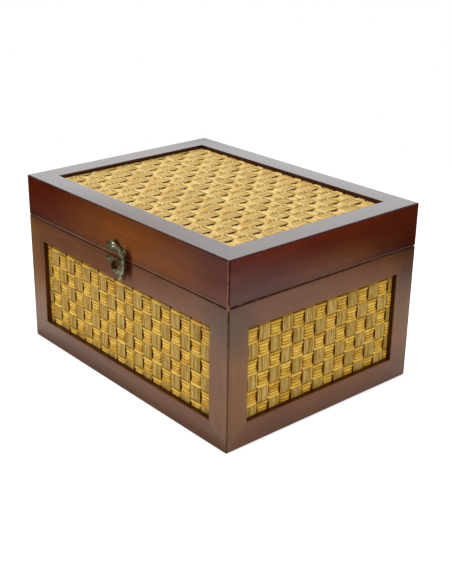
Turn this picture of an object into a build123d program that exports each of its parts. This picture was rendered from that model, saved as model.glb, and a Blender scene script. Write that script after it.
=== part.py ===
from build123d import *
import math
import os

# A keepsake box. The body is four mitred frames with a woven reed panel sunk in each, and the
# hinged lid is four mitred rails with a woven panel sunk in its top. A swinging hook on the lid
# catches a bent-up tongue on the front. X runs along the front, Y from front to back and Z up.
# The origin is on the underside, below the middle of the box.

# ------------------------------------------------------------------ driving sizes, millimetres
box_width = 300.0           # along the front
box_depth = 227.0           # front to back
body_height = 132.2
lid_height = 40.6
seam_gap = 0.2              # between the body's rim and the lid's rim

frame_border = 22.8         # face width of every rail and stile
rebate = 5.5                # how far a panel reaches in behind its frame
panel_clearance = 0.2       # all round a panel in its rebate
panel_recess = 5.2          # woven face below the face of the body's frames
lid_panel_recess = 3.6      # woven face below the lid's rim
backing_thickness = 3.2
arris = 1.0                 # eased outer edges
lip_arris = 0.5             # eased edge round each opening
rim_arris = 1.0             # eased top edge of the body
lid_arris_height = 1.2      # the lid's lower edge is eased mostly upwards
lid_arris_depth = 0.5
back_arris = 1.6            # planed off both along the back, which lets the lid swing back

bottom_thickness = 4.5
bottom_rebate = 6.0         # how far the bottom board reaches in under the walls

mat_thickness = 3.6         # woven mat, over the folds of both faces
weaver_thickness = 0.7
stake_pitch = 13.6          # upright bands, centre to centre
end_stake_pitch = 13.35     # on the two short walls
weaver_pitch = 14.6         # level bands of the walls
lid_weaver_pitch = 15.6     # the lid's weave is a little more open
front_crossing = (-6.0, -1.9)       # where a stake passes in front, from the panel's middle
end_crossing = (-14.2, 1.65)
lid_crossing = (5.8, 0.5)
weave_clearance = 0.05      # between a stake and the weavers folded round it
weaver_spacing = 0.5

hinge_inset = 55.0          # from each end of the box to the middle of a hinge
hinge_length = 26.0
hinge_leaf = 1.2            # leaf thickness
hinge_leaf_inset = 1.2      # from a leaf's front edge to the inside of the wall
barrel_radius = 2.2
hinge_pin_radius = 1.1
hinge_pin_play = 0.05
pin_overhang = 0.5
hinge_axis_inset = 1.2      # hinge axis in front of the back face
mortise_clearance = 0.1
barrel_clearance = 0.3
knuckle_gap = 0.2
screw_spacing = 15.0
screw_head_radius = 1.9
screw_head_depth = 0.9
screw_shank_radius = 0.9
screw_length = 9.0
fastener_sides = 10         # small screws, nails and the rivet are drawn ten-sided

plate_thickness = 0.9       # the latch's two plates
plate_ear_radius = 3.8
plate_ear_span = 23.2       # between the nails of one plate
lid_plate_edge = 3.2        # from the seam to each plate
keeper_edge = 2.0
lid_lobe_radius = 5.2
lid_lobe_rise = 10.5        # lobe's centre from the seam
keeper_lobe_radius = 7.6
keeper_lobe_drop = 10.9
plate_blend = 2.0
nail_head_radius = 1.5
nail_crown_radius = 0.8     # flat middle of a nail's head
nail_head_height = 0.8
nail_shank_radius = 0.6
nail_length = 6.0

pivot_x = -1.0
pivot_rise = 11.3           # the hook's pivot above the seam
boss_radius = 3.0
hook_standoff = 2.0         # hook's back face in front of the box
hook_thickness = 1.6
hook_head_radius = 4.0
hook_arm_width = 3.0
hook_play = 0.05            # each side of the hook, and round its rivet
rivet_radius = 1.4
rivet_head_radius = 2.7
rivet_crown_radius = 1.7    # flat middle of the rivet's head
rivet_head_height = 1.3
rivet_length = 5.0

tongue_x = -2.0             # right-hand face of the tongue
tongue_thickness = 1.0
tongue_top = 4.9            # below the seam
tongue_height = 7.0
tongue_reach = 5.0          # tongue's tip in front of the box
tongue_window = 4.2         # width of the hole it was bent out of
catch_clearance = 0.4       # between tongue and jaw when the hook is home
jaw_width = 3.2
jaw_tip_angle = 9.0         # angles are from straight below the pivot, hook at rest
jaw_root_angle = 31.0
bow_radius = 11.4           # where the arm bows out furthest, from the pivot
bow_angle = 66.0
elbow_radius = 19.8         # where the arm turns down
elbow_angle = 48.0
tail_length = 6.5           # below the jaw
tail_angle = 16.5
tail_tip_radius = 1.8

cut_margin = 1.0            # how far a cutting tool passes beyond what it cuts

# ------------------------------------------------------------------ sizes that follow
weaver_swing = (mat_thickness - weaver_thickness) / 2       # middle of a weaver, either side of the mat's
stake_rise = weaver_swing - weaver_thickness / 2 - weave_clearance
wall = panel_recess + mat_thickness + backing_thickness
lid_top_thickness = lid_panel_recess + mat_thickness + backing_thickness
lid_bottom = body_height + seam_gap
box_height = lid_bottom + lid_height
seam_z = body_height + seam_gap / 2
hinge_axis_y = box_depth / 2 - hinge_axis_inset
opening_margin = rebate - panel_clearance


# ------------------------------------------------------------------ planes the walls are drawn on
def wall_plane(angle, reach, level=0.0):
    """Outer face of the wall turned angle degrees from the front: x along it, y up, z outwards."""
    turn = math.radians(angle)
    outward = (math.sin(turn), -math.cos(turn), 0)
    along = (math.cos(turn), math.sin(turn), 0)
    origin = (outward[0] * reach, outward[1] * reach, level)
    return Plane(origin=origin, x_dir=along, z_dir=outward)


walls = {
    "front": (wall_plane(0, box_depth / 2), box_width),
    "right": (wall_plane(90, box_width / 2), box_depth),
    "back": (wall_plane(180, box_depth / 2), box_width),
    "left": (wall_plane(270, box_width / 2), box_depth),
}
next_wall = {"front": "right", "right": "back", "back": "left", "left": "front"}
wall_weaves = {
    box_width: ((stake_pitch, weaver_pitch), front_crossing),
    box_depth: ((end_stake_pitch, weaver_pitch), end_crossing),
}
plan_plane = Plane(origin=(0, 0, 0), x_dir=(1, 0, 0), z_dir=(0, 1, 0))        # along, inwards
section_plane = Plane(origin=(0, 0, 0), x_dir=(0, 0, -1), z_dir=(1, 0, 0))    # inwards, up
lid_plane = Plane(origin=(0, 0, box_height), x_dir=(1, 0, 0), z_dir=(0, 0, 1))
latch_plane = Plane(origin=(0, -box_depth / 2, seam_z), x_dir=(1, 0, 0), z_dir=(0, -1, 0))


def polygon(*points):
    return make_face(Polyline(*points, close=True))


def block(x_range, y_range, z_range):
    """A box between two limits on each axis."""
    size = [high - low for low, high in (x_range, y_range, z_range)]
    middle = [(high + low) / 2 for low, high in (x_range, y_range, z_range)]
    return Pos(*middle) * Box(*size)


def rod(x_centre, y_centre, radius, z_range):
    """An upright cylinder between two heights."""
    length = z_range[1] - z_range[0]
    return Pos(x_centre, y_centre, (z_range[0] + z_range[1]) / 2) * Cylinder(radius, length)


def peg(x_centre, y_centre, radius, z_start, z_end, end_radius=None):
    """An upright piece of a small fastener, straight or tapered, with the fastener's few sides."""
    length = abs(z_end - z_start)
    narrowing = 0 if end_radius is None else math.degrees(math.atan2(radius - end_radius, length))
    facing = Rot(0 if z_end > z_start else 180, 0, 0)
    blank = extrude(RegularPolygon(radius, fastener_sides), length, taper=narrowing)
    return Pos(x_centre, y_centre, z_start) * facing * blank


def along_x(section, length):
    """Extrudes an (inwards, up) section to both sides of the middle."""
    return extrude(section_plane * section, length / 2, both=True)


def mitred_plan(length, depth):
    """Plan of a wall seen from above, cut at 45 degrees at both ends and eased at the corners."""
    half = length / 2
    return polygon(
        (-half + arris, 0),
        (half - arris, 0),
        (half - arris / 2, arris / 2),
        (half - depth, depth),
        (-half + depth, depth),
        (-half + arris / 2, arris / 2),
    )


# ------------------------------------------------------------------ body frames
def body_wall(length):
    """One wall of the body before it is cut into rails and stiles."""
    section = polygon(
        (arris, 0),
        (wall - bottom_rebate, 0),
        (wall - bottom_rebate, bottom_thickness),
        (wall, bottom_thickness),
        (wall, body_height),
        (rim_arris, body_height),
        (0, body_height - rim_arris),
        (0, arris),
    )
    slab = along_x(section, length) & extrude(plan_plane * mitred_plan(length, wall), body_height)
    half = length / 2 - frame_border
    across = (-half, half)
    up = (frame_border, body_height - frame_border)
    opening = block(across, up, (-wall, 0))
    pocket = block(
        (across[0] - rebate, across[1] + rebate), (up[0] - rebate, up[1] + rebate), (-wall, -panel_recess)
    )
    frame = slab - opening - pocket
    lip = frame.faces().sort_by(Axis.Z)[-1].inner_wires()[0].edges()
    return chamfer(lip, lip_arris)


def frame_members(length):
    """Cuts a wall corner to corner into its two rails and two stiles."""
    frame = body_wall(length)
    half = length / 2
    inner = half - frame_border
    low = frame_border
    high = body_height - frame_border
    outlines = {
        "top_rail": ((-half, body_height), (half, body_height), (inner, high), (-inner, high)),
        "bottom_rail": ((-half, 0), (-inner, low), (inner, low), (half, 0)),
        "first_stile": ((-half, 0), (-half, body_height), (-inner, high), (-inner, low)),
        "last_stile": ((half, 0), (inner, low), (inner, high), (half, body_height)),
    }
    return {name: frame & extrude(polygon(*outline), -wall) for name, outline in outlines.items()}


def member_name(side, member):
    """A stile is named for the wall it meets: seen from outside, the last one meets the next wall."""
    if member == "last_stile":
        return f"{side}_{next_wall[side]}_stile"
    if member == "first_stile":
        before = [name for name in walls if next_wall[name] == side][0]
        return f"{side}_{before}_stile"
    return f"{side}_{member}"


# ------------------------------------------------------------------ woven panels
def band_places(span, pitch, crossing):
    """Middles of the bands in a span, numbered from the band that passes through a crossing."""
    first = math.ceil((-span / 2 - crossing) / pitch)
    last = math.floor((span / 2 - crossing) / pitch)
    return {number: crossing + number * pitch for number in range(first, last + 1)}


def stake(pitch, height):
    """An upright split reed, thickest along its middle and as wide as the folds round it leave."""
    half = pitch / 2 * stake_rise / weaver_swing
    section = polygon((-half, 0), (0, -stake_rise), (half, 0), (0, stake_rise))
    return Rot(-90, 0, 0) * extrude(section, height / 2, both=True)


def weaver(row, columns, pitch, height):
    """One level band, folded behind every other stake and in front of the rest, and on past the last."""
    line = []
    for column in range(min(columns) - 1, max(columns) + 2):
        level = -weaver_swing if (row + column) % 2 == 0 else weaver_swing
        line.append((column * pitch, level))
    half = weaver_thickness / 2
    outline = [(x, z + half) for x, z in line] + [(x, z - half) for x, z in reversed(line)]
    return Rot(90, 0, 0) * extrude(polygon(*outline), height / 2, both=True)


def woven_panel(span, height, pitches, crossing, recess):
    """Stakes and weavers of one panel, as two groups, on the wall's own axes. The mat is cut from a
    larger sheet, so the bands at its edges may be cut along their length."""
    columns = band_places(span, pitches[0], crossing[0])
    rows = band_places(height, pitches[1], crossing[1])
    half = mat_thickness / 2
    mat = block((-span / 2, span / 2), (-height / 2, height / 2), (-half, half))
    stakes = [mat & (Pos(place, 0, 0) * stake(pitches[0], height)) for place in columns.values()]
    band_height = pitches[1] - weaver_spacing
    weavers = [
        mat & (Pos(crossing[0], place, 0) * weaver(row, columns, pitches[0], band_height))
        for row, place in rows.items()
    ]
    middle = Pos(0, 0, -(recess + half))
    return {
        "stakes": Compound(children=[middle * piece.solid() for piece in stakes]),
        "weavers": Compound(children=[middle * piece.solid() for piece in weavers]),
    }


def panel_size(length, height):
    """Width and height of a panel that sits in the rebate of a frame of this outer size."""
    trim = 2 * (frame_border - opening_margin)
    return length - trim, height - trim


def backing_board(span, height, recess):
    back = -(recess + mat_thickness + backing_thickness)
    return block((-span / 2, span / 2), (-height / 2, height / 2), (back, back + backing_thickness))


# ------------------------------------------------------------------ lid
def lid_rail(length):
    """A deep side with a flat rim on top, mitred at both ends."""
    under_rim = lid_height - lid_top_thickness
    section = polygon(
        (0, lid_arris_height),
        (lid_arris_depth, 0),
        (wall, 0),
        (wall, under_rim),
        (frame_border - rebate, under_rim),
        (frame_border - rebate, lid_height - lid_panel_recess),
        (frame_border, lid_height - lid_panel_recess),
        (frame_border, lid_height - lip_arris),
        (frame_border - lip_arris, lid_height),
        (arris, lid_height),
        (0, lid_height - arris),
    )
    plan = extrude(plan_plane * mitred_plan(length, frame_border), lid_height)
    return Pos(0, lid_bottom, 0) * (along_x(section, length) & plan)


def back_bevel(up):
    """What is planed off the back edge of one rim, right across its corners."""
    rim = seam_z + up * seam_gap / 2
    outside = rim - up * cut_margin
    reach = back_arris + cut_margin
    section = polygon((reach, outside), (-cut_margin, outside), (-cut_margin, rim + up * reach))
    return walls["back"][0].location * along_x(section, box_width)


# ------------------------------------------------------------------ hinges
def hinge_places():
    place = box_width / 2 - hinge_inset
    return {"left": -place, "right": place}


def x_rod(radius, length, x_centre=0.0):
    """A cylinder along the hinge axis."""
    return Pos(x_centre, hinge_axis_y, seam_z) * Rot(0, 90, 0) * Cylinder(radius, length)


def leaf_front():
    return box_depth / 2 - wall + hinge_leaf_inset


def screw_places():
    """Middles of one leaf's two screws, from the middle of the leaf."""
    y = (leaf_front() + hinge_axis_y - barrel_radius) / 2
    return [(-screw_spacing / 2, y), (screw_spacing / 2, y)]


def knuckle_spans():
    """Three knuckles: the outer two belong to the body's leaf, the middle one to the lid's."""
    third = hinge_length / 3
    half = hinge_length / 2
    gap = knuckle_gap / 2
    return {"body": [(-half, -half + third - gap), (half - third + gap, half)],
            "lid": [(-half + third + gap, half - third - gap)]}


def hinge_leaf_plate(owner, up):
    """A leaf lying in its rim, rolled round the pin at its own knuckles."""
    near = seam_z + up * seam_gap / 2
    far = near + up * hinge_leaf
    heights = (min(near, far), max(near, far))
    notch = barrel_radius + barrel_clearance
    half = hinge_length / 2
    leaf = block((-half, half), (leaf_front(), hinge_axis_y - notch), heights)
    for low, high in knuckle_spans()[owner]:
        leaf += Pos((low + high) / 2, 0, 0) * x_rod(barrel_radius, high - low)
        leaf += block((low, high), (hinge_axis_y - notch, hinge_axis_y), heights)
    leaf -= x_rod(hinge_pin_radius + hinge_pin_play, hinge_length + cut_margin)
    return leaf - leaf_screws(up)


def leaf_screws(up):
    """Countersunk screws, whose heads are flush with the leaf's open face."""
    near = seam_z + up * seam_gap / 2
    neck = near + up * screw_head_depth
    tip = near + up * screw_length
    screws = []
    for x, y in screw_places():
        head = peg(x, y, screw_head_radius, near, neck, screw_shank_radius)
        shank = peg(x, y, screw_shank_radius, near, tip)
        screws.append(head + shank)
    return screws


def hinge_mortise(up):
    """What one hinge takes out of a rim: a shallow bed for the leaf and a trough for the barrel."""
    near = seam_z - up * seam_gap
    far = seam_z + up * (seam_gap / 2 + hinge_leaf)
    half = hinge_length / 2 + mortise_clearance
    heights = (min(near, far), max(near, far))
    bed = block((-half, half), (leaf_front() - mortise_clearance, box_depth), heights)
    trough = x_rod(barrel_radius + barrel_clearance, hinge_length + 2 * (pin_overhang + barrel_clearance))
    return bed + trough + leaf_screws(up)


# ------------------------------------------------------------------ latch, drawn on its own plane
def nail_places(up):
    edge = lid_plate_edge if up > 0 else keeper_edge
    level = up * (edge + plate_ear_radius)
    return [(-plate_ear_span / 2, level), (plate_ear_span / 2, level)]


def latch_outline(up, lobe_radius, lobe_level):
    """A plate with an ear round each nail and a lobe in the middle, blended together."""
    (left, level), (right, _) = nail_places(up)
    ears = [Pos(x, level) * Circle(plate_ear_radius) for x in (left, right)]
    bar = Pos(0, level) * Rectangle(right - left, 2 * plate_ear_radius)
    lobe = Pos(0, up * lobe_level) * Circle(lobe_radius)
    shape = ears[0] + ears[1] + bar + lobe
    return offset(offset(shape, plate_blend), -plate_blend)


def plate_blank(up, lobe_radius, lobe_level):
    plate = extrude(latch_outline(up, lobe_radius, lobe_level), plate_thickness)
    return plate - nails(up)


def latch_plate():
    """The lid's plate, with a boss that carries the hook clear of the nails."""
    boss = rod(pivot_x, pivot_rise, boss_radius, (0, hook_standoff - hook_play))
    return plate_blank(1, lid_lobe_radius, lid_lobe_rise) + boss - rivet()


def latch_keeper():
    """The body's plate, with a tongue cut on three sides and bent straight out."""
    bottom = -tongue_top - tongue_height
    through = (-cut_margin, plate_thickness + cut_margin)
    window = block((tongue_x, tongue_x + tongue_window), (bottom, -tongue_top), through)
    tongue = block((tongue_x - tongue_thickness, tongue_x), (bottom, -tongue_top), (0, tongue_reach))
    tip = tongue.edges().filter_by(Axis.X).group_by(Axis.Z)[-1]
    return plate_blank(-1, keeper_lobe_radius, keeper_lobe_drop) - window + fillet(tip, tongue_thickness)


def nails(up):
    """Nails of one plate: a crowned head on the plate and a shank in the wood."""
    crown = plate_thickness + nail_head_height
    made = []
    for x, level in nail_places(up):
        head = peg(x, level, nail_head_radius, plate_thickness, crown, nail_crown_radius)
        shank = peg(x, level, nail_shank_radius, plate_thickness, -nail_length)
        made.append(head + shank)
    return made


def rivet():
    """Carries the hook: its head is clear of the hook's face by the play."""
    seat = hook_standoff + hook_thickness + hook_play
    head = peg(pivot_x, pivot_rise, rivet_head_radius, seat, seat + rivet_head_height, rivet_crown_radius)
    return head + peg(pivot_x, pivot_rise, rivet_radius, seat, -rivet_length)


def around_pivot(radius, angle):
    """A point at a radius from the pivot, at an angle from straight below it towards the right."""
    turn = math.radians(angle)
    return pivot_x + radius * math.sin(turn), pivot_rise - radius * math.cos(turn)


def jaw_radius():
    """The jaw's inner edge passes just below the tongue as the hook swings home."""
    reach_x = tongue_x - tongue_thickness - pivot_x
    reach_z = pivot_rise + tongue_top + tongue_height
    return math.hypot(reach_x, reach_z) + catch_clearance


def hook_outline():
    """A head round the rivet, an arm bowed to the right that runs on as the tail, and a jaw to the left."""
    jaw_middle = jaw_radius() + jaw_width / 2
    root = around_pivot(jaw_middle, jaw_root_angle)
    elbow = around_pivot(elbow_radius, elbow_angle)
    tip = around_pivot(jaw_middle + tail_length, tail_angle)
    arm = ThreePointArc((pivot_x, pivot_rise), around_pivot(bow_radius, bow_angle), elbow)
    forearm = TangentArc(elbow, root, tangent=arm % 1)
    tail = TangentArc(root, tip, tangent=forearm % 1)
    jaw = ThreePointArc(
        root,
        around_pivot(jaw_middle, (jaw_root_angle + jaw_tip_angle) / 2),
        around_pivot(jaw_middle, jaw_tip_angle),
    )
    shape = trace(arm + forearm + tail, hook_arm_width) + trace(jaw, jaw_width)
    shape += Pos(pivot_x, pivot_rise) * Circle(hook_head_radius)
    shape += Pos(*tip) * Circle(tail_tip_radius)
    return shape


def latch_hook():
    blank = extrude(Pos(0, 0, hook_standoff) * hook_outline(), hook_thickness)
    top = hook_standoff + hook_thickness + cut_margin
    return blank - rod(pivot_x, pivot_rise, rivet_radius + hook_play, (0, top))


# ------------------------------------------------------------------ assembly
def body_parts():
    parts = {}
    bevel = back_bevel(-1)
    for side, (plane, length) in walls.items():
        for member, solid in frame_members(length).items():
            parts[member_name(side, member)] = plane.location * solid - bevel
        span, height = panel_size(length, body_height)
        raised = plane.location * Pos(0, body_height / 2, 0)
        pitches, crossing = wall_weaves[length]
        for group, mat in woven_panel(span, height, pitches, crossing, panel_recess).items():
            parts[f"{side}_{group}"] = raised * mat
        parts[f"{side}_backing"] = raised * backing_board(span, height, panel_recess)
    reach = wall - bottom_rebate + panel_clearance
    half_x = box_width / 2 - reach
    half_y = box_depth / 2 - reach
    parts["bottom_board"] = block((-half_x, half_x), (-half_y, half_y), (0, bottom_thickness))
    return parts


def lid_parts():
    parts = {}
    bevel = back_bevel(1)
    for side, (plane, length) in walls.items():
        parts[f"lid_{side}_rail"] = plane.location * lid_rail(length) - bevel
    span, height = panel_size(box_width, box_depth)
    pitches = (stake_pitch, lid_weaver_pitch)
    for group, mat in woven_panel(span, height, pitches, lid_crossing, lid_panel_recess).items():
        parts[f"lid_{group}"] = lid_plane.location * mat
    parts["lid_backing"] = lid_plane.location * backing_board(span, height, lid_panel_recess)
    return parts


def fit_hinges(parts):
    body_screws = []
    lid_screws = []
    body_leaf = hinge_leaf_plate("body", -1)
    lid_leaf = hinge_leaf_plate("lid", 1)
    for side, x in hinge_places().items():
        parts["back_top_rail"] -= Pos(x, 0, 0) * hinge_mortise(-1)
        parts["lid_back_rail"] -= Pos(x, 0, 0) * hinge_mortise(1)
        parts[f"{side}_hinge_body_leaf"] = Pos(x, 0, 0) * body_leaf
        parts[f"{side}_hinge_lid_leaf"] = Pos(x, 0, 0) * lid_leaf
        parts[f"{side}_hinge_pin"] = x_rod(hinge_pin_radius, hinge_length + 2 * pin_overhang, x)
        body_screws += [Pos(x, 0, 0) * solid for solid in leaf_screws(-1)]
        lid_screws += [Pos(x, 0, 0) * solid for solid in leaf_screws(1)]
    parts["hinge_screws_body"] = Compound(children=body_screws)
    parts["hinge_screws_lid"] = Compound(children=lid_screws)


def fit_latch(parts):
    place = latch_plane.location
    lid_nails = [place * nail for nail in nails(1)]
    keeper_nails = [place * nail for nail in nails(-1)]
    lid_rivet = place * rivet()
    parts["lid_front_rail"] -= lid_nails + [lid_rivet]
    parts["front_top_rail"] -= keeper_nails
    parts["latch_plate"] = place * latch_plate()
    parts["latch_rivet"] = lid_rivet
    parts["latch_plate_nails"] = Compound(children=lid_nails)
    parts["latch_keeper"] = place * latch_keeper()
    parts["latch_keeper_nails"] = Compound(children=keeper_nails)
    parts["latch_hook"] = place * latch_hook()


def build():
    parts = body_parts()
    parts.update(lid_parts())
    fit_hinges(parts)
    fit_latch(parts)
    return parts


os.makedirs("parts", exist_ok=True)
for node, shape in build().items():
    export_step(shape, f"parts/{node}.step")
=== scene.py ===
import math
from collections import namedtuple

import bpy
from mathutils import Matrix, Vector


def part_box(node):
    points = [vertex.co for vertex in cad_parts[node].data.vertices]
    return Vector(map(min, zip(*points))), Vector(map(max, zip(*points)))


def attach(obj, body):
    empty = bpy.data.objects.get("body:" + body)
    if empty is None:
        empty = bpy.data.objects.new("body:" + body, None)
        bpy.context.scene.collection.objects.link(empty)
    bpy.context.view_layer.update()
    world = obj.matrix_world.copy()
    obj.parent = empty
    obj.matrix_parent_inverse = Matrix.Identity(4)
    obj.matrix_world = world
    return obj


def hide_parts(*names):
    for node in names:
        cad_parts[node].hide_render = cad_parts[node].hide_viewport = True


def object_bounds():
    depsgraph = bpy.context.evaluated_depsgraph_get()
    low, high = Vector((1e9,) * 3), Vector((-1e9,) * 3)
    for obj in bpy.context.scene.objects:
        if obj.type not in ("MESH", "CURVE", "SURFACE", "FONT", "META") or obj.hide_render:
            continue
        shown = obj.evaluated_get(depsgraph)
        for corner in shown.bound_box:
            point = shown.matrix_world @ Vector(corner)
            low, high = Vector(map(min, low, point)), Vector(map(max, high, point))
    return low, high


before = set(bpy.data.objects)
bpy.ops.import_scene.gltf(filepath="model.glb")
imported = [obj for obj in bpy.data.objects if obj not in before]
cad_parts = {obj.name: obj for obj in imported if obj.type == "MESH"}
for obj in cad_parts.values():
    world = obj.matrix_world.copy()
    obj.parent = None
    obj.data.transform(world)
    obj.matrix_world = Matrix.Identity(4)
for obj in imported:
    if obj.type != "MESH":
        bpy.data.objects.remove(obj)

cad_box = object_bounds()

# A keepsake box of lacquered wood with woven reed panels and a bronze hook latch.
# Lengths are in metres, as the frame's are.

MM = 0.001
MATH = "ShaderNodeMath"
VECTOR = "ShaderNodeVectorMath"
RANGE = "ShaderNodeMapRange"
MIX = "ShaderNodeMix"
NOISE = "ShaderNodeTexNoise"
MAPPING = "ShaderNodeMapping"
SPLIT = "ShaderNodeSeparateXYZ"
JOIN = "ShaderNodeCombineXYZ"
BUMP = "ShaderNodeBump"
STORE = "GeometryNodeStoreNamedAttribute"


# ---------------------------------------------------------------- places read from the frame
lowest, highest = cad_box
body_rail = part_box("front_top_rail")
lid_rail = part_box("lid_front_rail")
seam = (body_rail[1].z + lid_rail[0].z) / 2
half_width = highest.x
half_depth = -body_rail[0].y
top = highest.z
WALLS = {"front": "x", "right": "y", "back": "x", "left": "y"}     # and the way a wall's rails run
NEIGHBOURS = {"front": ("left", "right"), "right": ("front", "back"),
              "back": ("right", "left"), "left": ("back", "front")}


# ---------------------------------------------------------------- helpers
def linear(hex_colour):
    """An sRGB hex colour as linear RGBA."""
    channels = [int(hex_colour[i:i + 2], 16) / 255 for i in (1, 3, 5)]
    return [c / 12.92 if c <= 0.04045 else ((c + 0.055) / 1.055) ** 2.4 for c in channels] + [1.0]


def add(tree, kind, *values, **named):
    """Adds a node and gives its first live output, or the node where it has none. Values go to its
    live inputs in order. A name in small letters is a setting, and one with a capital is an input,
    with _ for a space."""
    node = tree.nodes.new(kind)
    for name, value in named.items():
        if name[0].islower():
            setattr(node, name, value)
    live = [socket for socket in node.inputs if socket.enabled]
    wired = list(zip(live, values))
    wired += [
        (next(socket for socket in live if socket.name == name.replace("_", " ")), value)
        for name, value in named.items() if name[0].isupper()
    ]
    for socket, value in wired:
        if isinstance(value, bpy.types.NodeSocket):
            tree.links.new(value, socket)
        elif value is not None:
            socket.default_value = value
    return next((socket for socket in node.outputs if socket.enabled), node)


def new_material(name):
    """An empty node material and its tree."""
    made = bpy.data.materials.new(name)
    made.use_nodes = True
    made.node_tree.nodes.clear()
    return made, made.node_tree


def dress(node, finish):
    """Gives a CAD node its material."""
    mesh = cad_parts[node].data
    mesh.materials.clear()
    mesh.materials.append(finish)


# ---------------------------------------------------------------- lacquered wood
grain_width = 1.1 * MM          # between growth lines; really finer, drawn wide enough to show
grain_stretch = 22              # how much longer than wide a grain mark is
board_grain = 3 * MM            # width of a grain mark in the plywood
cloud_size = 45 * MM            # patches where the stain took unevenly
wear_patch = 7 * MM             # rubbed patches along an edge
wear_width = 1.1 * MM           # how far wear reaches in from an edge

# Where a change begins and ends, measured from what it is named after.
rim_skin = (0.9 * MM, 1.6 * MM)             # below the lid's top: the darker stain of its rim
ledge = (0.4 * MM, 1.4 * MM)                # below the outer faces: the ledges round a panel
ledge_from_seam = (0.8 * MM, 1.5 * MM)      # beyond this the seam's own faces count as ledges
lit_patch_ledge = (0.6 * MM, 3 * MM)          # the same, within a patch of painted light
seam_shade = (1.6 * MM, 7 * MM)             # from the seam's edges: a soft darker band
seam_line = (0.5 * MM, 1.6 * MM)            # a sharp one on the body: painted shade under the lid's edge
seam_film = (0.8 * MM, 1.8 * MM)            # less lacquer
seam_highlight = (0.9 * MM, 1.5 * MM)            # a pale line on the lid's long sides: painted highlight on the eased edge
corner_line = (1.2 * MM, 2.2 * MM)          # from an upright corner: a dark line on the short sides, a pale line of painted highlight on the lid's long sides
tip_from_seam = (1.2 * MM, 2.4 * MM)        # the seam's corners, knocked bare
tip_from_corner = (1.4 * MM, 2.6 * MM)
upper_corner = (8 * MM, 42 * MM)            # from an upright corner: painted shade high on the body
upper_corner_height = (75 * MM, 110 * MM)
foot_height = (4 * MM, 15 * MM)             # where the lacquer's reflection is cut back at a wall's foot: painted shade in what it mirrors

ALONG = {"x": (1, 0, 0), "y": (0, 1, 0), "z": (0, 0, 1)}      # the way the grain runs
RAIL_STAINS = ("#5A2C09", "#723E0D")        # where the wood took most and least of it
STILE_STAINS = ("#5E330B", "#744812")
LID_STAINS = ("#400F03", "#561D06")
PAINTED_LIGHT_BY_HEIGHT = {      # painted light and shade: how light the wood's colour is at each height
    ("body", "long"): ((0, 0.45), (20 * MM, 0.85), (45 * MM, 1.1), (70 * MM, 1.0), (110 * MM, 0.9)),
    ("body", "short"): ((0, 0.65), (20 * MM, 0.9), (45 * MM, 1.1), (70 * MM, 1.0), (110 * MM, 0.9)),
    ("lid", "long"): ((seam, 0.95), (top - 15 * MM, 1.0), (top, 0.85)),
    ("lid", "short"): ((seam, 0.8), (top, 1.18)),
}
Spot = namedtuple("Spot", "middle reach")
LIT_PATCHES = {     # painted light on the lid: where a patch is lighter, its warmer colour there and what is left of the lacquer
    "front": (
        Spot((22 * MM, -half_depth, seam + 14 * MM), (150 * MM, 60 * MM, 60 * MM)),
        "#743E08", 0.55,
    ),
    "right": (
        Spot((half_width, 14 * MM, seam + 3 * MM), (60 * MM, 100 * MM, 28 * MM)),
        "#6A3812", 1,
    ),
}
# beside the latch: its painted shadow, dark red-brown and without the lacquer's reflection
LATCH_SHADOW_SPOT = Spot((17.5 * MM, -half_depth, seam - 2 * MM), (8.5 * MM, 4 * MM, 19 * MM))
Distances = namedtuple(
    "Distances", "height from_edge below under_top from_corner from_seam from_seam_edge",
)


def surface_distances(tree, place):
    """Distances of a point: its height, then from the nearest outer edge, below the outer faces,
    below the lid's top, from the nearest upright corner, from the seam's level and from the
    seam's outer edges."""
    centred = add(tree, VECTOR, place, (0, 0, top / 2), operation="SUBTRACT")
    folded = add(tree, VECTOR, centred, operation="ABSOLUTE")
    inward = add(tree, VECTOR, (half_width, half_depth, top / 2), folded, operation="SUBTRACT")
    x, y, z = add(tree, SPLIT, inward).node.outputs
    nearer = add(tree, MATH, x, y, operation="MINIMUM")
    farther = add(tree, MATH, x, y, operation="MAXIMUM")
    below_either = add(tree, MATH, farther, z, operation="MINIMUM")
    second = add(tree, MATH, nearer, below_either, operation="MAXIMUM")
    height = add(tree, SPLIT, place).node.outputs[2]
    from_seam = add(tree, MATH, height, seam, operation="SUBTRACT")
    from_seam = add(tree, MATH, from_seam, operation="ABSOLUTE")
    from_seam_edge = add(tree, MATH, from_seam, nearer, operation="MAXIMUM")
    from_edge = add(tree, MATH, second, from_seam_edge, operation="MINIMUM")
    under_top = add(tree, MATH, top, height, operation="SUBTRACT")
    below = add(tree, MATH, nearer, z, operation="MINIMUM")
    return Distances(height, from_edge, below, under_top, farther, from_seam, from_seam_edge)


def away_from(tree, place, spot):
    """How far a point lies from a spot's middle, in parts of its reach along each axis."""
    away = add(tree, VECTOR, place, spot.middle, operation="SUBTRACT")
    away = add(tree, VECTOR, away, spot.reach, operation="DIVIDE")
    return add(tree, VECTOR, away, operation="LENGTH")


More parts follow.
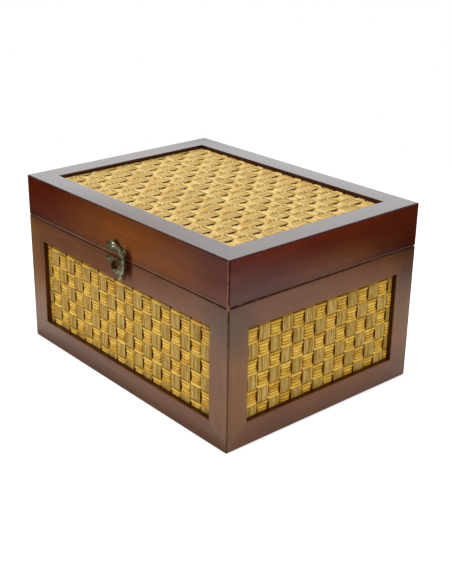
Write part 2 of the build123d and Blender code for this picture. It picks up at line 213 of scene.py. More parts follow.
def painted_light_share(tree, place, at, part, side):
    """Painted light and shade: the share of the wood's colour by height, less towards the back of
    the lid's short sides, and less in the body's upper corners on the right."""
    across, depth, _ = add(tree, SPLIT, place).node.outputs
    shades = PAINTED_LIGHT_BY_HEIGHT[part, side]
    factors = [
        add(tree, RANGE, at.height, low, high, 1, after / before)
        for (low, before), (high, after) in zip(shades, shades[1:])
    ]
    if part == "lid" and side == "short":
        factors.append(add(tree, RANGE, depth, 0, 0.9 * half_depth, 1, 0.7))
    if part == "body":
        cornered = add(tree, RANGE, at.from_corner, *upper_corner, 0.5, 0)
        high_up = add(tree, RANGE, at.height, *upper_corner_height, 0, 1)
        cornered = add(tree, MATH, cornered, high_up, operation="MULTIPLY")
        to_the_right = add(tree, MATH, across, 0, operation="GREATER_THAN")
        cornered = add(tree, MATH, cornered, to_the_right, operation="MULTIPLY")
        factors.append(add(tree, MATH, 1, cornered, operation="SUBTRACT"))
    share = shades[0][1]
    for factor in factors:
        share = add(tree, MATH, share, factor, operation="MULTIPLY")
    return share


def wear_and_highlight_share(tree, place, at, part, side):
    """Where rubbing has gone through to bare wood: patches on every edge and the seam's corners;
    and a faint pale line of painted highlight along the lower and upright edges of the lid's long
    sides."""
    near = add(tree, RANGE, at.from_edge, 0, wear_width, 1, 0, interpolation_type="SMOOTHSTEP")
    patchy = add(tree, NOISE, place, Scale=1 / wear_patch, Detail=4, Roughness=0.65)
    patches = add(tree, RANGE, patchy, 0.5, 0.66, 0, 0.75)
    wear_and_highlight = add(tree, MATH, near, patches, operation="MULTIPLY")
    tip = add(tree, RANGE, at.from_seam, *tip_from_seam, 0.9, 0)
    near_corner = add(tree, RANGE, at.from_corner, *tip_from_corner, 1, 0)
    tip = add(tree, MATH, tip, near_corner, operation="MULTIPLY")
    wear_and_highlight = add(tree, MATH, wear_and_highlight, tip, operation="MAXIMUM")
    if part == "lid" and side == "long":
        lower = add(tree, RANGE, at.from_seam_edge, *seam_highlight, 1, 0)
        upright = add(tree, RANGE, at.from_corner, *corner_line, 1, 0)
        line = add(tree, MATH, lower, upright, operation="MAXIMUM")
        broken = add(tree, RANGE, patchy, 0.4, 0.6, 0.2, 0.6)
        line = add(tree, MATH, line, broken, operation="MULTIPLY")
        wear_and_highlight = add(tree, MATH, wear_and_highlight, line, operation="MAXIMUM")
    return wear_and_highlight


def lacquered_wood(name, part, side, run, stains, shift, foot_reflection=1, lit_patch=None):
    """Close-grained hardwood, stained deep red-brown and sprayed with satin lacquer: the colour
    lies under one smooth film, which mirrors the room softly and rubs through to bare wood on the
    edges."""
    made, tree = new_material(name)
    place = add(tree, "ShaderNodeTexCoord").node.outputs["Object"]
    at = surface_distances(tree, place)

    # the stain follows the grain, and took more in some patches than in others
    stretch = [1 / grain_stretch if along else 1 for along in ALONG[run]]
    drawn = add(tree, MAPPING, place, Location=shift, Scale=stretch)
    grain = add(
        tree, NOISE, drawn, Scale=0.5 / grain_width, Detail=5, Roughness=0.6, Distortion=0.3,
    )
    cloud = add(tree, NOISE, drawn, Scale=2 / cloud_size, Detail=3, Roughness=0.55)
    mottle = add(tree, NOISE, place, Scale=1 / cloud_size, Detail=2)
    depth = add(tree, MATH, cloud, 0.35, operation="MULTIPLY")
    depth = add(tree, MATH, grain, 0.4, depth, operation="MULTIPLY_ADD")
    depth = add(tree, MATH, mottle, 0.25, depth, operation="MULTIPLY_ADD")
    taken = add(tree, RANGE, depth, 0.38, 0.62, 0, 1)
    colour = add(tree, MIX, taken, *(linear(stain) for stain in stains), data_type="RGBA")

    # a patch of painted light makes it lighter and warmer
    if lit_patch:
        spot, warm, film_left = lit_patch
        far = away_from(tree, place, spot)
        in_lit_patch = add(tree, RANGE, far, 0.1, 1.0, 1.0, 0.0, interpolation_type="SMOOTHSTEP")
        by_grain = add(tree, RANGE, depth, 0.35, 0.6, 0.6, 1.0)
        thin = add(tree, MATH, in_lit_patch, by_grain, operation="MULTIPLY")
        by_ledge = add(tree, RANGE, at.below, *lit_patch_ledge, 1, 0.3)
        thin = add(tree, MATH, thin, by_ledge, operation="MULTIPLY")
        colour = add(tree, MIX, thin, colour, linear(warm), data_type="RGBA")

    # and darker at the rim, the seam and the upright corners of the short sides, with painted shade
    # under the lid's edge on the body
    corners = [add(tree, RANGE, at.from_corner, *corner_line, 0.4, 1)] if side == "short" else []
    factors = [
        add(tree, RANGE, at.under_top, *rim_skin, 0.4, 1),
        add(tree, RANGE, at.from_seam_edge, *seam_shade, 0.8, 1),
        *corners,
    ]
    if part == "body":
        factors.append(add(tree, RANGE, at.from_seam_edge, *seam_line, 0.3, 1))
    # painted light and shade: the wood's colour scaled by height and place
    share = painted_light_share(tree, place, at, part, side)
    for factor in factors:
        share = add(tree, MATH, share, factor, operation="MULTIPLY")
    colour = add(tree, VECTOR, colour, operation="SCALE", Scale=share)

    # a painted shadow beside the latch, painted shade on the ledges, and the edges rubbed bare
    far = away_from(tree, place, LATCH_SHADOW_SPOT)
    latch_shadow = add(tree, RANGE, far, 0.4, 1.0, 0.95, 0.0, interpolation_type="SMOOTHSTEP")
    colour = add(tree, MIX, latch_shadow, colour, linear("#2E0602"), data_type="RGBA")
    # painted shade: the ledges round a panel turn nearly black red-brown
    ledge_shade = add(tree, RANGE, at.below, *ledge, 0, 0.8)
    off_seam = add(tree, RANGE, at.from_seam, *ledge_from_seam, 0, 1)
    ledge_shade = add(tree, MATH, ledge_shade, off_seam, operation="MINIMUM")
    colour = add(tree, MIX, ledge_shade, colour, linear("#2A0C03"), data_type="RGBA")
    # bare wood on rubbed edges, and a painted highlight along the lid's long sides
    wear_and_highlight = wear_and_highlight_share(tree, place, at, part, side)
    colour = add(tree, MIX, wear_and_highlight, colour, linear("#86604A"), data_type="RGBA")

    # the lacquer's film, cut back at the foot, on the ledges and beside the latch as painted shade
    # in what it mirrors
    seam_left = 0.5 if part == "lid" and side == "long" else 0.15
    film = add(tree, RANGE, at.from_seam_edge, *seam_film, seam_left, 1)
    factors = [
        *corners,
        add(tree, RANGE, at.height, *foot_height, foot_reflection, 1),
        add(tree, RANGE, at.below, *ledge, 1, 0.3),
        add(tree, MATH, 1, latch_shadow, operation="SUBTRACT"),
    ]
    if lit_patch:
        factors.append(add(tree, RANGE, in_lit_patch, 0, 1, 1, film_left))
    for factor in factors:
        film = add(tree, MATH, film, factor, operation="MULTIPLY")
    gloss = add(tree, RANGE, cloud, 0.35, 0.65, 0.24, 0.34)
    ridges = add(tree, BUMP, Height=grain, Strength=0.1, Distance=0.02 * MM)
    shader = add(
        tree, "ShaderNodeBsdfPrincipled", Base_Color=colour, Roughness=gloss, Normal=ridges,
        Specular_IOR_Level=0.05, Coat_Weight=film, Coat_Roughness=0.1, Coat_IOR=1.5,
    )
    add(tree, "ShaderNodeOutputMaterial", shader)
    return made


def finish_wood():
    """Rails, stiles and lid rails of each wall, each with a cut of grain of its own."""
    for number, (wall, run) in enumerate(WALLS.items()):
        side = "long" if run == "x" else "short"
        shift = (0.13 * number, 0.29, 0.07 * number)        # no two boards share their grain
        turned = shift[::-1]
        # the front's foot mirrors less of the floor: painted shade
        foot_reflection = 0.4 if wall == "front" else 1
        rail = lacquered_wood(
            f"lacquered_wood_{wall}_rails", "body", side, run, RAIL_STAINS, shift, foot_reflection,
        )
        stile = lacquered_wood(
            f"lacquered_wood_{wall}_stiles", "body", side, "z", STILE_STAINS, turned, foot_reflection,
        )
        lid = lacquered_wood(
            f"lacquered_wood_lid_{wall}", "lid", side, run, LID_STAINS, turned,
            lit_patch=LIT_PATCHES.get(wall),
        )
        dress(f"{wall}_top_rail", rail)
        dress(f"{wall}_bottom_rail", rail)
        dress(f"lid_{wall}_rail", lid)
        for neighbour in NEIGHBOURS[wall]:
            dress(f"{wall}_{neighbour}_stile", stile)


def stained_plywood(run):
    """Thin plywood stained nearly black-brown behind the weave: dull, with faint fine grain."""
    made, tree = new_material(f"stained_plywood_{run}")
    place = add(tree, "ShaderNodeTexCoord").node.outputs["Object"]
    stretch = [1 / grain_stretch if along else 1 for along in ALONG[run]]
    drawn = add(tree, MAPPING, place, Scale=stretch)
    grain = add(tree, NOISE, drawn, Scale=1 / board_grain, Detail=5, Roughness=0.6)
    taken = add(tree, RANGE, grain, 0.3, 0.7, 0, 1)
    colour = add(tree, MIX, taken, linear("#24120A"), linear("#3C2010"), data_type="RGBA")
    ridges = add(tree, BUMP, Height=grain, Strength=0.2, Distance=0.1 * MM)
    shader = add(tree, "ShaderNodeBsdfPrincipled", Base_Color=colour, Roughness=0.6, Normal=ridges)
    add(tree, "ShaderNodeOutputMaterial", shader)
    return made


def finish_boards():
    boards = {run: stained_plywood(run) for run in ("x", "y")}
    for wall, run in WALLS.items():
        dress(f"{wall}_backing", boards[run])
    dress("bottom_board", boards["x"])
    dress("lid_backing", boards["x"])


# ---------------------------------------------------------------- metals
patina_size = 2.5 * MM          # dull and rubbed patches
patina_turn = (0.38, 0.64)      # the noise at which dull metal ends and rubbed metal is full
pit_size = 0.5 * MM
pit_depth = 0.05 * MM


def aged_metal(name, dull, bright, roughness):
    """Cast or stamped alloy, gone dark with age: dull in patches, rubbed brighter between them."""
    made, tree = new_material(name)
    place = add(tree, "ShaderNodeTexCoord").node.outputs["Object"]
    patina = add(tree, NOISE, place, Scale=1 / patina_size, Detail=4, Roughness=0.6)
    pits = add(tree, NOISE, place, Scale=1 / pit_size, Detail=2)
    rubbed = add(tree, RANGE, patina, *patina_turn, 0, 1)
    colour = add(tree, MIX, rubbed, linear(dull), linear(bright), data_type="RGBA")
    gloss = add(tree, RANGE, patina, *patina_turn, roughness + 0.15, roughness - 0.05)
    uneven = add(tree, BUMP, Height=pits, Strength=0.25, Distance=pit_depth)
    shader = add(
        tree, "ShaderNodeBsdfPrincipled", Base_Color=colour, Metallic=1.0, Roughness=gloss,
        Normal=uneven,
    )
    add(tree, "ShaderNodeOutputMaterial", shader)
    return made


def finish_metal():
    bronze = aged_metal("antique_bronze", "#2C2414", "#A8946A", 0.3)
    rubbed = aged_metal("rubbed_bronze", "#625E46", "#F4EEC8", 0.25)
    brass = aged_metal("aged_brass", "#6E5424", "#B8944C", 0.32)
    for node in ("latch_plate", "latch_keeper", "latch_plate_nails", "latch_keeper_nails"):
        dress(node, bronze)
    for node in ("latch_hook", "latch_rivet"):
        dress(node, rubbed)
    for side in ("left", "right"):
        for part in ("body_leaf", "lid_leaf", "pin"):
            dress(f"{side}_hinge_{part}", brass)
    for node in ("hinge_screws_body", "hinge_screws_lid"):
        dress(node, brass)


# ---------------------------------------------------------------- woven reed
streak_size = (9 * MM, 0.5 * MM)    # one fibre's streak, along the reed and across it
blotch_size = (20 * MM, 3 * MM)
fibre_relief = 0.1 * MM
rail_shade = (6.5 * MM, 4.5 * MM)   # below a top rail: where its painted shadow on the weave starts and is full
wander_length = 12 * MM             # over which a reed wanders to one side and back
neighbour_step = 7.31               # between two reeds' places in the wandering, to keep them apart
band_crown = 0.7 * MM               # a band's edge lies a quarter of this below its middle
edge_keep = 0.55                    # in reed widths: the nearest a reed's middle comes to an edge
level_seeds = 50                    # from the upright bands' seed to the level bands'


def reed_finish(name, crease, dull, bright, stain, tucked, flank, rail=None):
    """Split rattan reed, stained and wiped: straw-gold on its crown, streaked along its fibres, and
    darker brown along its sides, with painted shade down a band's flanks, where it dives under one
    and along the rail above a panel. The pattern follows each reed by its own attributes."""
    made, tree = new_material(name)
    place = add(tree, "ShaderNodeAttribute", attribute_name="reed_place").node.outputs["Vector"]
    tone, side, level, outer = (
        add(tree, "ShaderNodeAttribute", attribute_name=f"reed_{kind}").node.outputs["Fac"]
        for kind in ("tone", "side", "level", "outer")
    )
    streaks, blotches = (
        add(tree, MAPPING, place, Scale=(1 / along, 1 / across, 1))
        for along, across in (streak_size, blotch_size)
    )
    fibre = add(tree, NOISE, streaks, Scale=1, Detail=3)
    blotch = add(tree, NOISE, blotches, Scale=1, Detail=2)
    light = add(tree, MATH, blotch, 0.35, operation="MULTIPLY")
    light = add(tree, MATH, fibre, 0.4, light, operation="MULTIPLY_ADD")
    light = add(tree, MATH, tone, 0.25, light, operation="MULTIPLY_ADD")
    light = add(tree, RANGE, light, 0.34, 0.66, 0, 1)
    colour = add(tree, MIX, light, linear(dull), linear(bright), data_type="RGBA")

    # darker along each reed's sides; painted shade down a band's flanks, where it dives under one,
    # and below the rail above a panel
    sides = add(tree, MATH, side, add(tree, RANGE, fibre, 0.3, 0.7, 0.25, -0.25), operation="ADD")
    flanks = add(tree, MATH, outer, side, operation="MULTIPLY")
    stained = add(tree, RANGE, sides, 0.6, 1.05, 0, stain)
    elsewhere = [
        add(tree, RANGE, level, -0.8, 0.8, tucked, 0),
        add(tree, RANGE, flanks, 0.6, 0.85, 0, flank),
    ]
    if rail:
        here = add(tree, "ShaderNodeTexCoord").node.outputs["Object"]
        height = add(tree, SPLIT, here).node.outputs[2]
        starts, full = (rail - below for below in rail_shade)
        elsewhere.append(add(tree, RANGE, height, starts, full, 0, 0.85))
    for amount in elsewhere:
        stained = add(tree, MATH, stained, amount, operation="MAXIMUM")
    colour = add(tree, MIX, stained, colour, linear(crease), data_type="RGBA")
    ridges = add(tree, BUMP, Height=fibre, Strength=0.4, Distance=fibre_relief)
    sheen = add(tree, RANGE, stained, 0, 0.8, 0.35, 0.05)
    shader = add(
        tree, "ShaderNodeBsdfPrincipled", Base_Color=colour, Roughness=0.5, Normal=ridges,
        IOR=1.45, Specular_IOR_Level=sheen,
    )
    add(tree, "ShaderNodeOutputMaterial", shader)
    return made


def reed_tree():
    """Fine reeds side by side in flat bands, which pass over and under the bands that cross them.
    Reeds run along x, bands are spaced along y, and z is out of the panel."""
    tree = bpy.data.node_groups.new("woven_reeds", "GeometryNodeTree")
    sockets = {
        "Float": (
            "Length", "Width", "Band Pitch", "Band Offset", "Band Fill", "Crossing Pitch",
            "Crossing Offset", "Turn", "Swing", "Step", "Tuck", "Edge Lag", "Reed Thickness",
            "Wander",
        ),
        "Int": ("Reeds per Band", "Reed Sides", "Samples per Crossing", "Seed"),
        "Material": ("Finish",),
    }
    for kind, names in sockets.items():
        for name in names:
            tree.interface.new_socket(name, in_out="INPUT", socket_type=f"NodeSocket{kind}")
    tree.interface.new_socket("Geometry", in_out="OUTPUT", socket_type="NodeSocketGeometry")
    given = add(tree, "NodeGroupInput").node.outputs

    # how many bands, reeds and points there are
    crossings = add(tree, MATH, given["Length"], given["Crossing Pitch"], operation="DIVIDE")
    crossings = add(tree, MATH, crossings, operation="CEIL")
    steps = add(tree, MATH, crossings, given["Samples per Crossing"], operation="MULTIPLY")
    samples = add(tree, MATH, steps, 1, operation="ADD")
    half_bands = add(tree, MATH, given["Width"], given["Band Pitch"], operation="DIVIDE")
    half_bands = add(tree, MATH, half_bands, 0.5, 1, operation="MULTIPLY_ADD")
    half_bands = add(tree, MATH, half_bands, operation="CEIL")
    bands = add(tree, MATH, half_bands, 2, 1, operation="MULTIPLY_ADD")
    reeds = add(tree, MATH, bands, given["Reeds per Band"], operation="MULTIPLY")
    count = add(tree, MATH, reeds, samples, operation="MULTIPLY")

    # which reed, band and place along the reed a point has
    index = add(tree, "GeometryNodeInputIndex")
    reed = add(tree, MATH, add(tree, MATH, index, samples, operation="DIVIDE"), operation="FLOOR")
    sample = add(tree, MATH, index, samples, operation="MODULO")
    band = add(tree, MATH, reed, given["Reeds per Band"], operation="DIVIDE")
    band = add(tree, MATH, band, operation="FLOOR")
    band = add(tree, MATH, band, half_bands, operation="SUBTRACT")
    place_in_band = add(tree, MATH, reed, given["Reeds per Band"], operation="MODULO")
    share = add(tree, MATH, place_in_band, 0.5, operation="ADD")
    share = add(tree, MATH, share, given["Reeds per Band"], operation="DIVIDE")
    share = add(tree, MATH, share, 0.5, operation="SUBTRACT")
    along = add(tree, MATH, sample, steps, operation="DIVIDE")
    along = add(tree, MATH, along, 0.5, operation="SUBTRACT")
    along = add(tree, MATH, along, given["Length"], operation="MULTIPLY")

    # over one crossing band, then under the next, a band's outer reeds later than its middle ones
    crossing = add(tree, MATH, along, given["Crossing Offset"], operation="SUBTRACT")
    crossing = add(tree, MATH, crossing, given["Crossing Pitch"], operation="DIVIDE")
    turned = add(tree, MATH, band, given["Turn"], operation="ADD")
    crossing = add(tree, MATH, crossing, turned, operation="ADD")
    crossing = add(tree, MATH, crossing, math.pi, operation="MULTIPLY")
    wave = add(tree, MATH, crossing, operation="COSINE")
    outwards = add(tree, MATH, share, share, operation="MULTIPLY")
    lag = add(tree, MATH, outwards, given["Edge Lag"], operation="MULTIPLY")
    tuck = add(tree, MATH, given["Tuck"], lag, operation="SUBTRACT")
    low_step = add(tree, MATH, tuck, given["Step"], operation="SUBTRACT")
    high_step = add(tree, MATH, tuck, given["Step"], operation="ADD")
    wave = add(tree, RANGE, wave, low_step, high_step, -1, 1, interpolation_type="SMOOTHSTEP")

    # a little wandering of its own for each reed
    seeded = add(tree, MATH, reed, neighbour_step, given["Seed"], operation="MULTIPLY_ADD")
    spot = add(tree, MATH, along, 1 / wander_length, operation="MULTIPLY")
    spot = add(tree, JOIN, spot, seeded, given["Seed"])
    loose = add(tree, NOISE, spot, Scale=1, Detail=1).node.outputs["Color"]
    loose = add(tree, VECTOR, loose, (0.5, 0.5, 0.5), operation="SUBTRACT")
    slip, lift, _ = add(tree, SPLIT, loose).node.outputs

    # where it lies: a band is a little narrower where it goes under, and crowned across
    breadth = add(tree, MATH, given["Band Pitch"], given["Band Fill"], operation="MULTIPLY")
    from_band = add(tree, MATH, share, breadth, operation="MULTIPLY")
    narrowed = add(tree, RANGE, wave, -1, 1, 0.9, 1.0)
    gathered = add(tree, MATH, from_band, narrowed, operation="MULTIPLY")
    laid = add(
        tree, MATH, band, given["Band Pitch"], given["Band Offset"], operation="MULTIPLY_ADD",
    )
    rest = add(tree, MATH, from_band, laid, operation="ADD")
    across = add(tree, MATH, gathered, laid, operation="ADD")
    across = add(tree, MATH, slip, given["Wander"], across, operation="MULTIPLY_ADD")
    sag = add(tree, MATH, outwards, -band_crown, operation="MULTIPLY")
    height = add(tree, MATH, wave, given["Swing"], sag, operation="MULTIPLY_ADD")
    height = add(tree, MATH, lift, given["Wander"], height, operation="MULTIPLY_ADD")

    # all points, with what the reeds' finish asks of them, joined up reed by reed
    outermost = add(tree, MATH, 0.75, given["Reeds per Band"], operation="DIVIDE")
    outermost = add(tree, MATH, 0.5, outermost, operation="SUBTRACT")
    outer = add(tree, MATH, share, operation="ABSOLUTE")
    outer = add(tree, MATH, outer, outermost, operation="GREATER_THAN")
    points = add(tree, JOIN, along, across, height)
    points = add(tree, "GeometryNodePoints", Count=count, Position=points)
    for name, kind, value in (
        ("place", "FLOAT_VECTOR", add(tree, JOIN, along, rest, reed)),
        ("tone", "FLOAT", add(tree, "FunctionNodeRandomValue", ID=reed, Seed=given["Seed"])),
        ("level", "FLOAT", wave),
        ("outer", "FLOAT", outer),
    ):
        points = add(tree, STORE, Geometry=points, Name=f"reed_{name}", data_type=kind, Value=value)
    curves = add(tree, "GeometryNodePointsToCurves", points, Curve_Group_ID=reed, Weight=sample)

    # reeds that would lie outside the panel are left out
    own_place = add(tree, "GeometryNodeInputNamedAttribute", "reed_place", data_type="FLOAT_VECTOR")
    own_across = add(tree, MATH, add(tree, SPLIT, own_place).node.outputs[1], operation="ABSOLUTE")
    reed_width = add(tree, MATH, breadth, given["Reeds per Band"], operation="DIVIDE")
    kept_in = add(tree, MATH, reed_width, -edge_keep, operation="MULTIPLY")
    limit = add(tree, MATH, given["Width"], 0.5, kept_in, operation="MULTIPLY_ADD")
    outside = add(tree, "FunctionNodeCompare", own_across, limit, operation="GREATER_THAN")
    curves = add(tree, "GeometryNodeDeleteGeometry", curves, outside, domain="CURVE")

    # each reed is a flattened round strip
    curves = add(tree, "GeometryNodeSetCurveNormal", curves, mode="Z_UP")
    ring = add(tree, "GeometryNodeCurvePrimitiveCircle", Resolution=given["Reed Sides"], Radius=0.5)
    ring_x = add(tree, SPLIT, add(tree, "GeometryNodeInputPosition")).node.outputs[0]
    ring_side = add(tree, MATH, ring_x, 2, operation="MULTIPLY")
    ring_side = add(tree, MATH, ring_side, operation="ABSOLUTE")
    ring = add(tree, STORE, Geometry=ring, Name="reed_side", Value=ring_side)
    strip_size = add(tree, JOIN, reed_width, given["Reed Thickness"], 1)
    ring = add(tree, "GeometryNodeTransform", ring, Scale=strip_size)
    strips = add(tree, "GeometryNodeCurveToMesh", curves, ring, Fill_Caps=True)
    strips = add(tree, "GeometryNodeSetShadeSmooth", strips)
    strips = add(tree, "GeometryNodeRealizeInstances", strips)
    strips = add(tree, "GeometryNodeSetMaterial", strips, Material=given["Finish"])
    add(tree, "NodeGroupOutput", strips)
    return tree


def grown(name, tree, values, placement):
    """Runs a tree with the named inputs and keeps the result as a plain mesh, set in its place."""
    carrier = bpy.data.objects.new(f"{name}_carrier", bpy.data.meshes.new(f"{name}_carrier"))
    bpy.context.scene.collection.objects.link(carrier)
    modifier = carrier.modifiers.new("grow", "NODES")
    modifier.node_group = tree
    for item in tree.interface.items_tree:
        if item.in_out == "INPUT":
            modifier[item.identifier] = values[item.name]
    graph = bpy.context.evaluated_depsgraph_get()
    mesh = bpy.data.meshes.new_from_object(carrier.evaluated_get(graph), depsgraph=graph)
    bpy.data.objects.remove(carrier)
    mesh.name = name
    mesh.transform(placement)
    if placement.determinant() < 0:
        mesh.flip_normals()
    piece = bpy.data.objects.new(name, mesh)
    bpy.context.scene.collection.objects.link(piece)
    return piece


def panel_place(wall):
    """Turns a panel's own axes, along, up and out of it, into the box's, about its mat's middle."""
    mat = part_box(f"{wall}_weavers")
    place = Matrix.Translation((mat[0] + mat[1]) / 2)
    if wall == "lid":
        return place
    turn = {"front": 0, "right": 90, "back": 180, "left": 270}[wall]
    upright = Matrix.Rotation(math.radians(90), 4, "X")
    return place @ Matrix.Rotation(math.radians(turn), 4, "Z") @ upright


# What all panels' bands share, each panel's pitch and offset of its columns and of its rows, and
# how the level bands go under.
UPRIGHT = {
    "Band Fill": 0.92, "Reeds per Band": 7, "Turn": 0.0, "Swing": 1.0 * MM, "Tuck": 0.0,
    "Step": 0.5, "Edge Lag": 0.0, "Reed Thickness": 1.0 * MM, "Reed Sides": 6,
    "Samples per Crossing": 8, "Wander": 0.7 * MM,
}
LEVEL = {
    "Band Fill": 1.0, "Reeds per Band": 5, "Turn": 1.0, "Swing": 1.0 * MM,
    "Reed Thickness": 1.4 * MM, "Reed Sides": 8, "Samples per Crossing": 10,
    "Wander": 0.3 * MM,
}
PITCHES = {
    "long": ((13.6 * MM, -6.0 * MM), (14.6 * MM, -1.9 * MM)),
    "short": ((13.35 * MM, -14.2 * MM), (14.6 * MM, 1.65 * MM)),
    "lid": ((13.6 * MM, 5.8 * MM), (15.6 * MM, 0.5 * MM)),
}
WALL_DIVE = {"Tuck": 0.46, "Step": 0.22, "Edge Lag": 2.4}
LID_DIVE = {"Tuck": 0.6, "Step": 0.25, "Edge Lag": 4.2}


def weave(wall, tree, finishes, columns, rows, dive, seed):
    """Both sets of bands of one panel. Columns and rows each give a pitch and an offset from the
    middle, and dive how early and gently the level bands go under and how their outer reeds lag."""
    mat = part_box(f"{wall}_weavers")
    size = mat[1] - mat[0]
    span = size.y if wall in ("left", "right") else size.x
    height = size.y if wall == "lid" else size.z
    place = panel_place(wall)
    swap = Matrix(((0, 1, 0, 0), (1, 0, 0, 0), (0, 0, 1, 0), (0, 0, 0, 1)))     # along x to up y
    upright = UPRIGHT | {
        "Length": height, "Width": span, "Band Pitch": columns[0], "Band Offset": columns[1],
        "Crossing Pitch": rows[0], "Crossing Offset": rows[1], "Seed": seed, "Finish": finishes[0],
    }
    level = LEVEL | dive | {
        "Length": span, "Width": height, "Band Pitch": rows[0], "Band Offset": rows[1],
        "Crossing Pitch": columns[0], "Crossing Offset": columns[1], "Seed": seed + level_seeds,
        "Finish": finishes[1],
    }
    stakes = grown(f"{wall}_upright_reeds", tree, upright, place @ swap)
    weavers = grown(f"{wall}_level_reeds", tree, level, place)
    body = "lid" if wall == "lid" else "body"
    for piece, node in ((stakes, f"{wall}_stakes"), (weavers, f"{wall}_weavers")):
        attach(piece, body)
        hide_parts(node)


def weave_panels():
    tree = reed_tree()
    rail = body_rail[0].z
    # tucked, flank and rail: how much painted shade falls where a band dives under, down its flanks
    # and below the rail
    walls = (
        reed_finish(
            "split_reed_uprights", "#684006", "#9C7824", "#CAA85A",
            stain=0.45, tucked=0.3, flank=0.8, rail=rail,
        ),
        reed_finish(
            "split_reed_levels", "#744202", "#B88618", "#E2BA4C",
            stain=0.6, tucked=0.95, flank=0, rail=rail,
        ),
    )
    lid = (
        reed_finish(
            "split_reed_lid_uprights", "#5A3A08", "#B8964C", "#DAB86E",
            stain=0.3, tucked=0.1, flank=0.85,
        ),
        reed_finish(
            "split_reed_lid_levels", "#6A4810", "#C29A48", "#E8CA80",
            stain=0.3, tucked=0.9, flank=0,
        ),
    )
    for seed, (wall, run) in enumerate(WALLS.items(), 1):
        weave(wall, tree, walls, *PITCHES["long" if run == "x" else "short"], WALL_DIVE, seed)
    weave("lid", tree, lid, *PITCHES["lid"], LID_DIVE, len(WALLS) + 1)


# ---------------------------------------------------------------- stage, lamps and camera
SHEET_MIDDLE = (0.06, 0.02, 0)
MIRRORED_SHEETS = (             # middle, how far it is whole, where it has gone, how bright it is
    (SHEET_MIDDLE, 0.28, 0.50, 1),
    ((-0.3, -0.2, 0), 0.05, 0.34, 0.22),
    ((-0.18, -0.36, 0), 0.05, 0.16, 0.35),
)
SHADOW_SHEET = (0.4, 0.8)       # from its middle: where the shadow starts to fade and has gone
SOFTBOXES = {                   # place, size and watts
    "overhead": ((0.1, -0.1, 1.7), (2.2, 2.2), 24),
    "behind_left": ((-0.95, 0.76, 0.83), (1.4, 0.8), 4.7),
    "front_left": ((-1.4, -2.7, 1.1), (1.4, 1.4), 45),
    "right": ((1.9, -0.5, 0.8), (0.9, 0.9), 14.4),
}
floor_reach = 8.0               # each way
floor_drop = 0.1 * MM           # below the box, so that no two faces lie in one plane
paper_glow = 0.45               # light of its own, which lifts the shadow
room_strength = 0.35


def floor_finish():
    """White paper that keeps the box's shadow. Mirrored, it fades where such a sheet ends."""
    made, tree = new_material("white_paper")
    rays = add(tree, "ShaderNodeLightPath").node.outputs
    place = add(tree, "ShaderNodeNewGeometry")
    paper = add(tree, "ShaderNodeBsdfDiffuse", linear("#F2F2F2"))
    black = add(tree, "ShaderNodeBsdfDiffuse", linear("#000000"))
    white = add(tree, "ShaderNodeEmission", linear("#FFFFFF"), 1.0)
    glow = add(tree, "ShaderNodeEmission", linear("#FFFFFF"), paper_glow)

    # what the camera sees
    lit = add(tree, "ShaderNodeAddShader", paper, glow)
    from_middle = add(tree, VECTOR, place, SHEET_MIDDLE, operation="DISTANCE")
    faded = add(tree, RANGE, from_middle, *SHADOW_SHEET, 0, 1)
    seen = add(tree, "ShaderNodeMixShader", faded, lit, white)

    # what the lacquer mirrors
    bright = 0
    for middle, whole, gone, share in MIRRORED_SHEETS:
        away = add(tree, VECTOR, place, middle, operation="DISTANCE")
        sheet = add(tree, RANGE, away, whole, gone, share, 0, interpolation_type="SMOOTHSTEP")
        bright = add(tree, MATH, sheet, bright, operation="MAXIMUM")
    mirrored = add(tree, "ShaderNodeMixShader", bright, black, paper)

    shown = add(tree, "ShaderNodeMixShader", rays["Is Glossy Ray"], paper, mirrored)
    shown = add(tree, "ShaderNodeMixShader", rays["Is Camera Ray"], shown, seen)
    add(tree, "ShaderNodeOutputMaterial", shown)
    return made


def build_stage():
    """The floor, one large square just below the box."""
    mesh = bpy.data.meshes.new("floor")
    corners = [(-1, -1), (1, -1), (1, 1), (-1, 1)]
    height = lowest.z - floor_drop
    points = [(x * floor_reach, y * floor_reach, height) for x, y in corners]
    mesh.from_pydata(points, [], [(0, 1, 2, 3)])
    mesh.materials.append(floor_finish())
    floor = bpy.data.objects.new("floor", mesh)
    bpy.context.scene.collection.objects.link(floor)


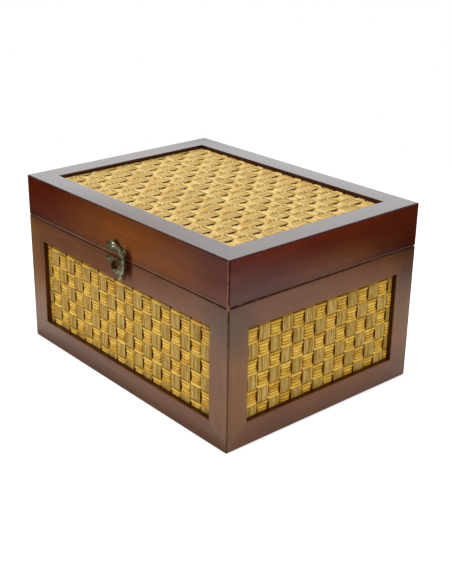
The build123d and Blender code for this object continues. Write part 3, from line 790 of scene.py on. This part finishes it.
def light_room():
    """An even pale room, which the camera sees as white."""
    world = bpy.data.worlds.new("studio")
    world.use_nodes = True
    tree = world.node_tree
    tree.nodes.clear()
    seen = add(tree, "ShaderNodeLightPath")
    room = add(tree, "ShaderNodeBackground", linear("#F4F5F8"), room_strength)
    white = add(tree, "ShaderNodeBackground", linear("#FFFFFF"), 1.0)
    add(tree, "ShaderNodeOutputWorld", add(tree, "ShaderNodeMixShader", seen, room, white))
    bpy.context.scene.world = world


def softbox(name, place, size, power):
    """A rectangular lamp turned towards the box."""
    lamp = bpy.data.lights.new(name, "AREA")
    lamp.shape = "RECTANGLE"
    lamp.size, lamp.size_y = size
    lamp.energy = power
    made = bpy.data.objects.new(name, lamp)
    made.location = place
    towards = Vector((0, 0, top / 2)) - Vector(place)
    made.rotation_euler = towards.to_track_quat("-Z", "Y").to_euler()
    made.visible_camera = False
    bpy.context.scene.collection.objects.link(made)


camera_azimuth = 51.28                      # degrees round from the front, towards the right
camera_elevation = 22.30
camera_roll = -0.176
camera_distance = 985.3 * MM
camera_slide = (-31.4 * MM, -3.6 * MM)      # along the camera's own right and up
focal_length = 1014.8                       # in pixels, as the two below
optical_centre = (181.3, 277.2)             # from the picture's upper left corner
picture = (452, 584)                        # its width and height


def place_camera():
    """The camera, looking down on the box between its front and its right side."""
    data = bpy.data.cameras.new("camera")
    data.sensor_width = 36.0
    data.lens = focal_length / picture[1] * data.sensor_width
    data.shift_x = (picture[0] / 2 - optical_centre[0]) / picture[1]
    data.shift_y = (optical_centre[1] - picture[1] / 2) / picture[1]
    data.clip_start = 0.01
    azimuth = math.radians(camera_azimuth)
    elevation = math.radians(camera_elevation)
    back = Vector((math.sin(azimuth), -math.cos(azimuth), math.tan(elevation))).normalized()
    turned = back.to_track_quat("Z", "Y").to_matrix()
    place = Vector((0, 0, top / 2)) + back * camera_distance
    place += turned.col[0] * camera_slide[0] + turned.col[1] * camera_slide[1]
    rolled = turned.to_4x4() @ Matrix.Rotation(math.radians(camera_roll), 4, "Z")
    camera = bpy.data.objects.new("camera", data)
    camera.matrix_world = Matrix.Translation(place) @ rolled
    bpy.context.scene.collection.objects.link(camera)
    bpy.context.scene.camera = camera


finish_wood()
finish_boards()
finish_metal()
weave_panels()
build_stage()
light_room()
for name, (place, size, watts) in SOFTBOXES.items():
    softbox(name, place, size, watts)
place_camera()
bpy.context.scene.view_settings.view_transform = "Standard"
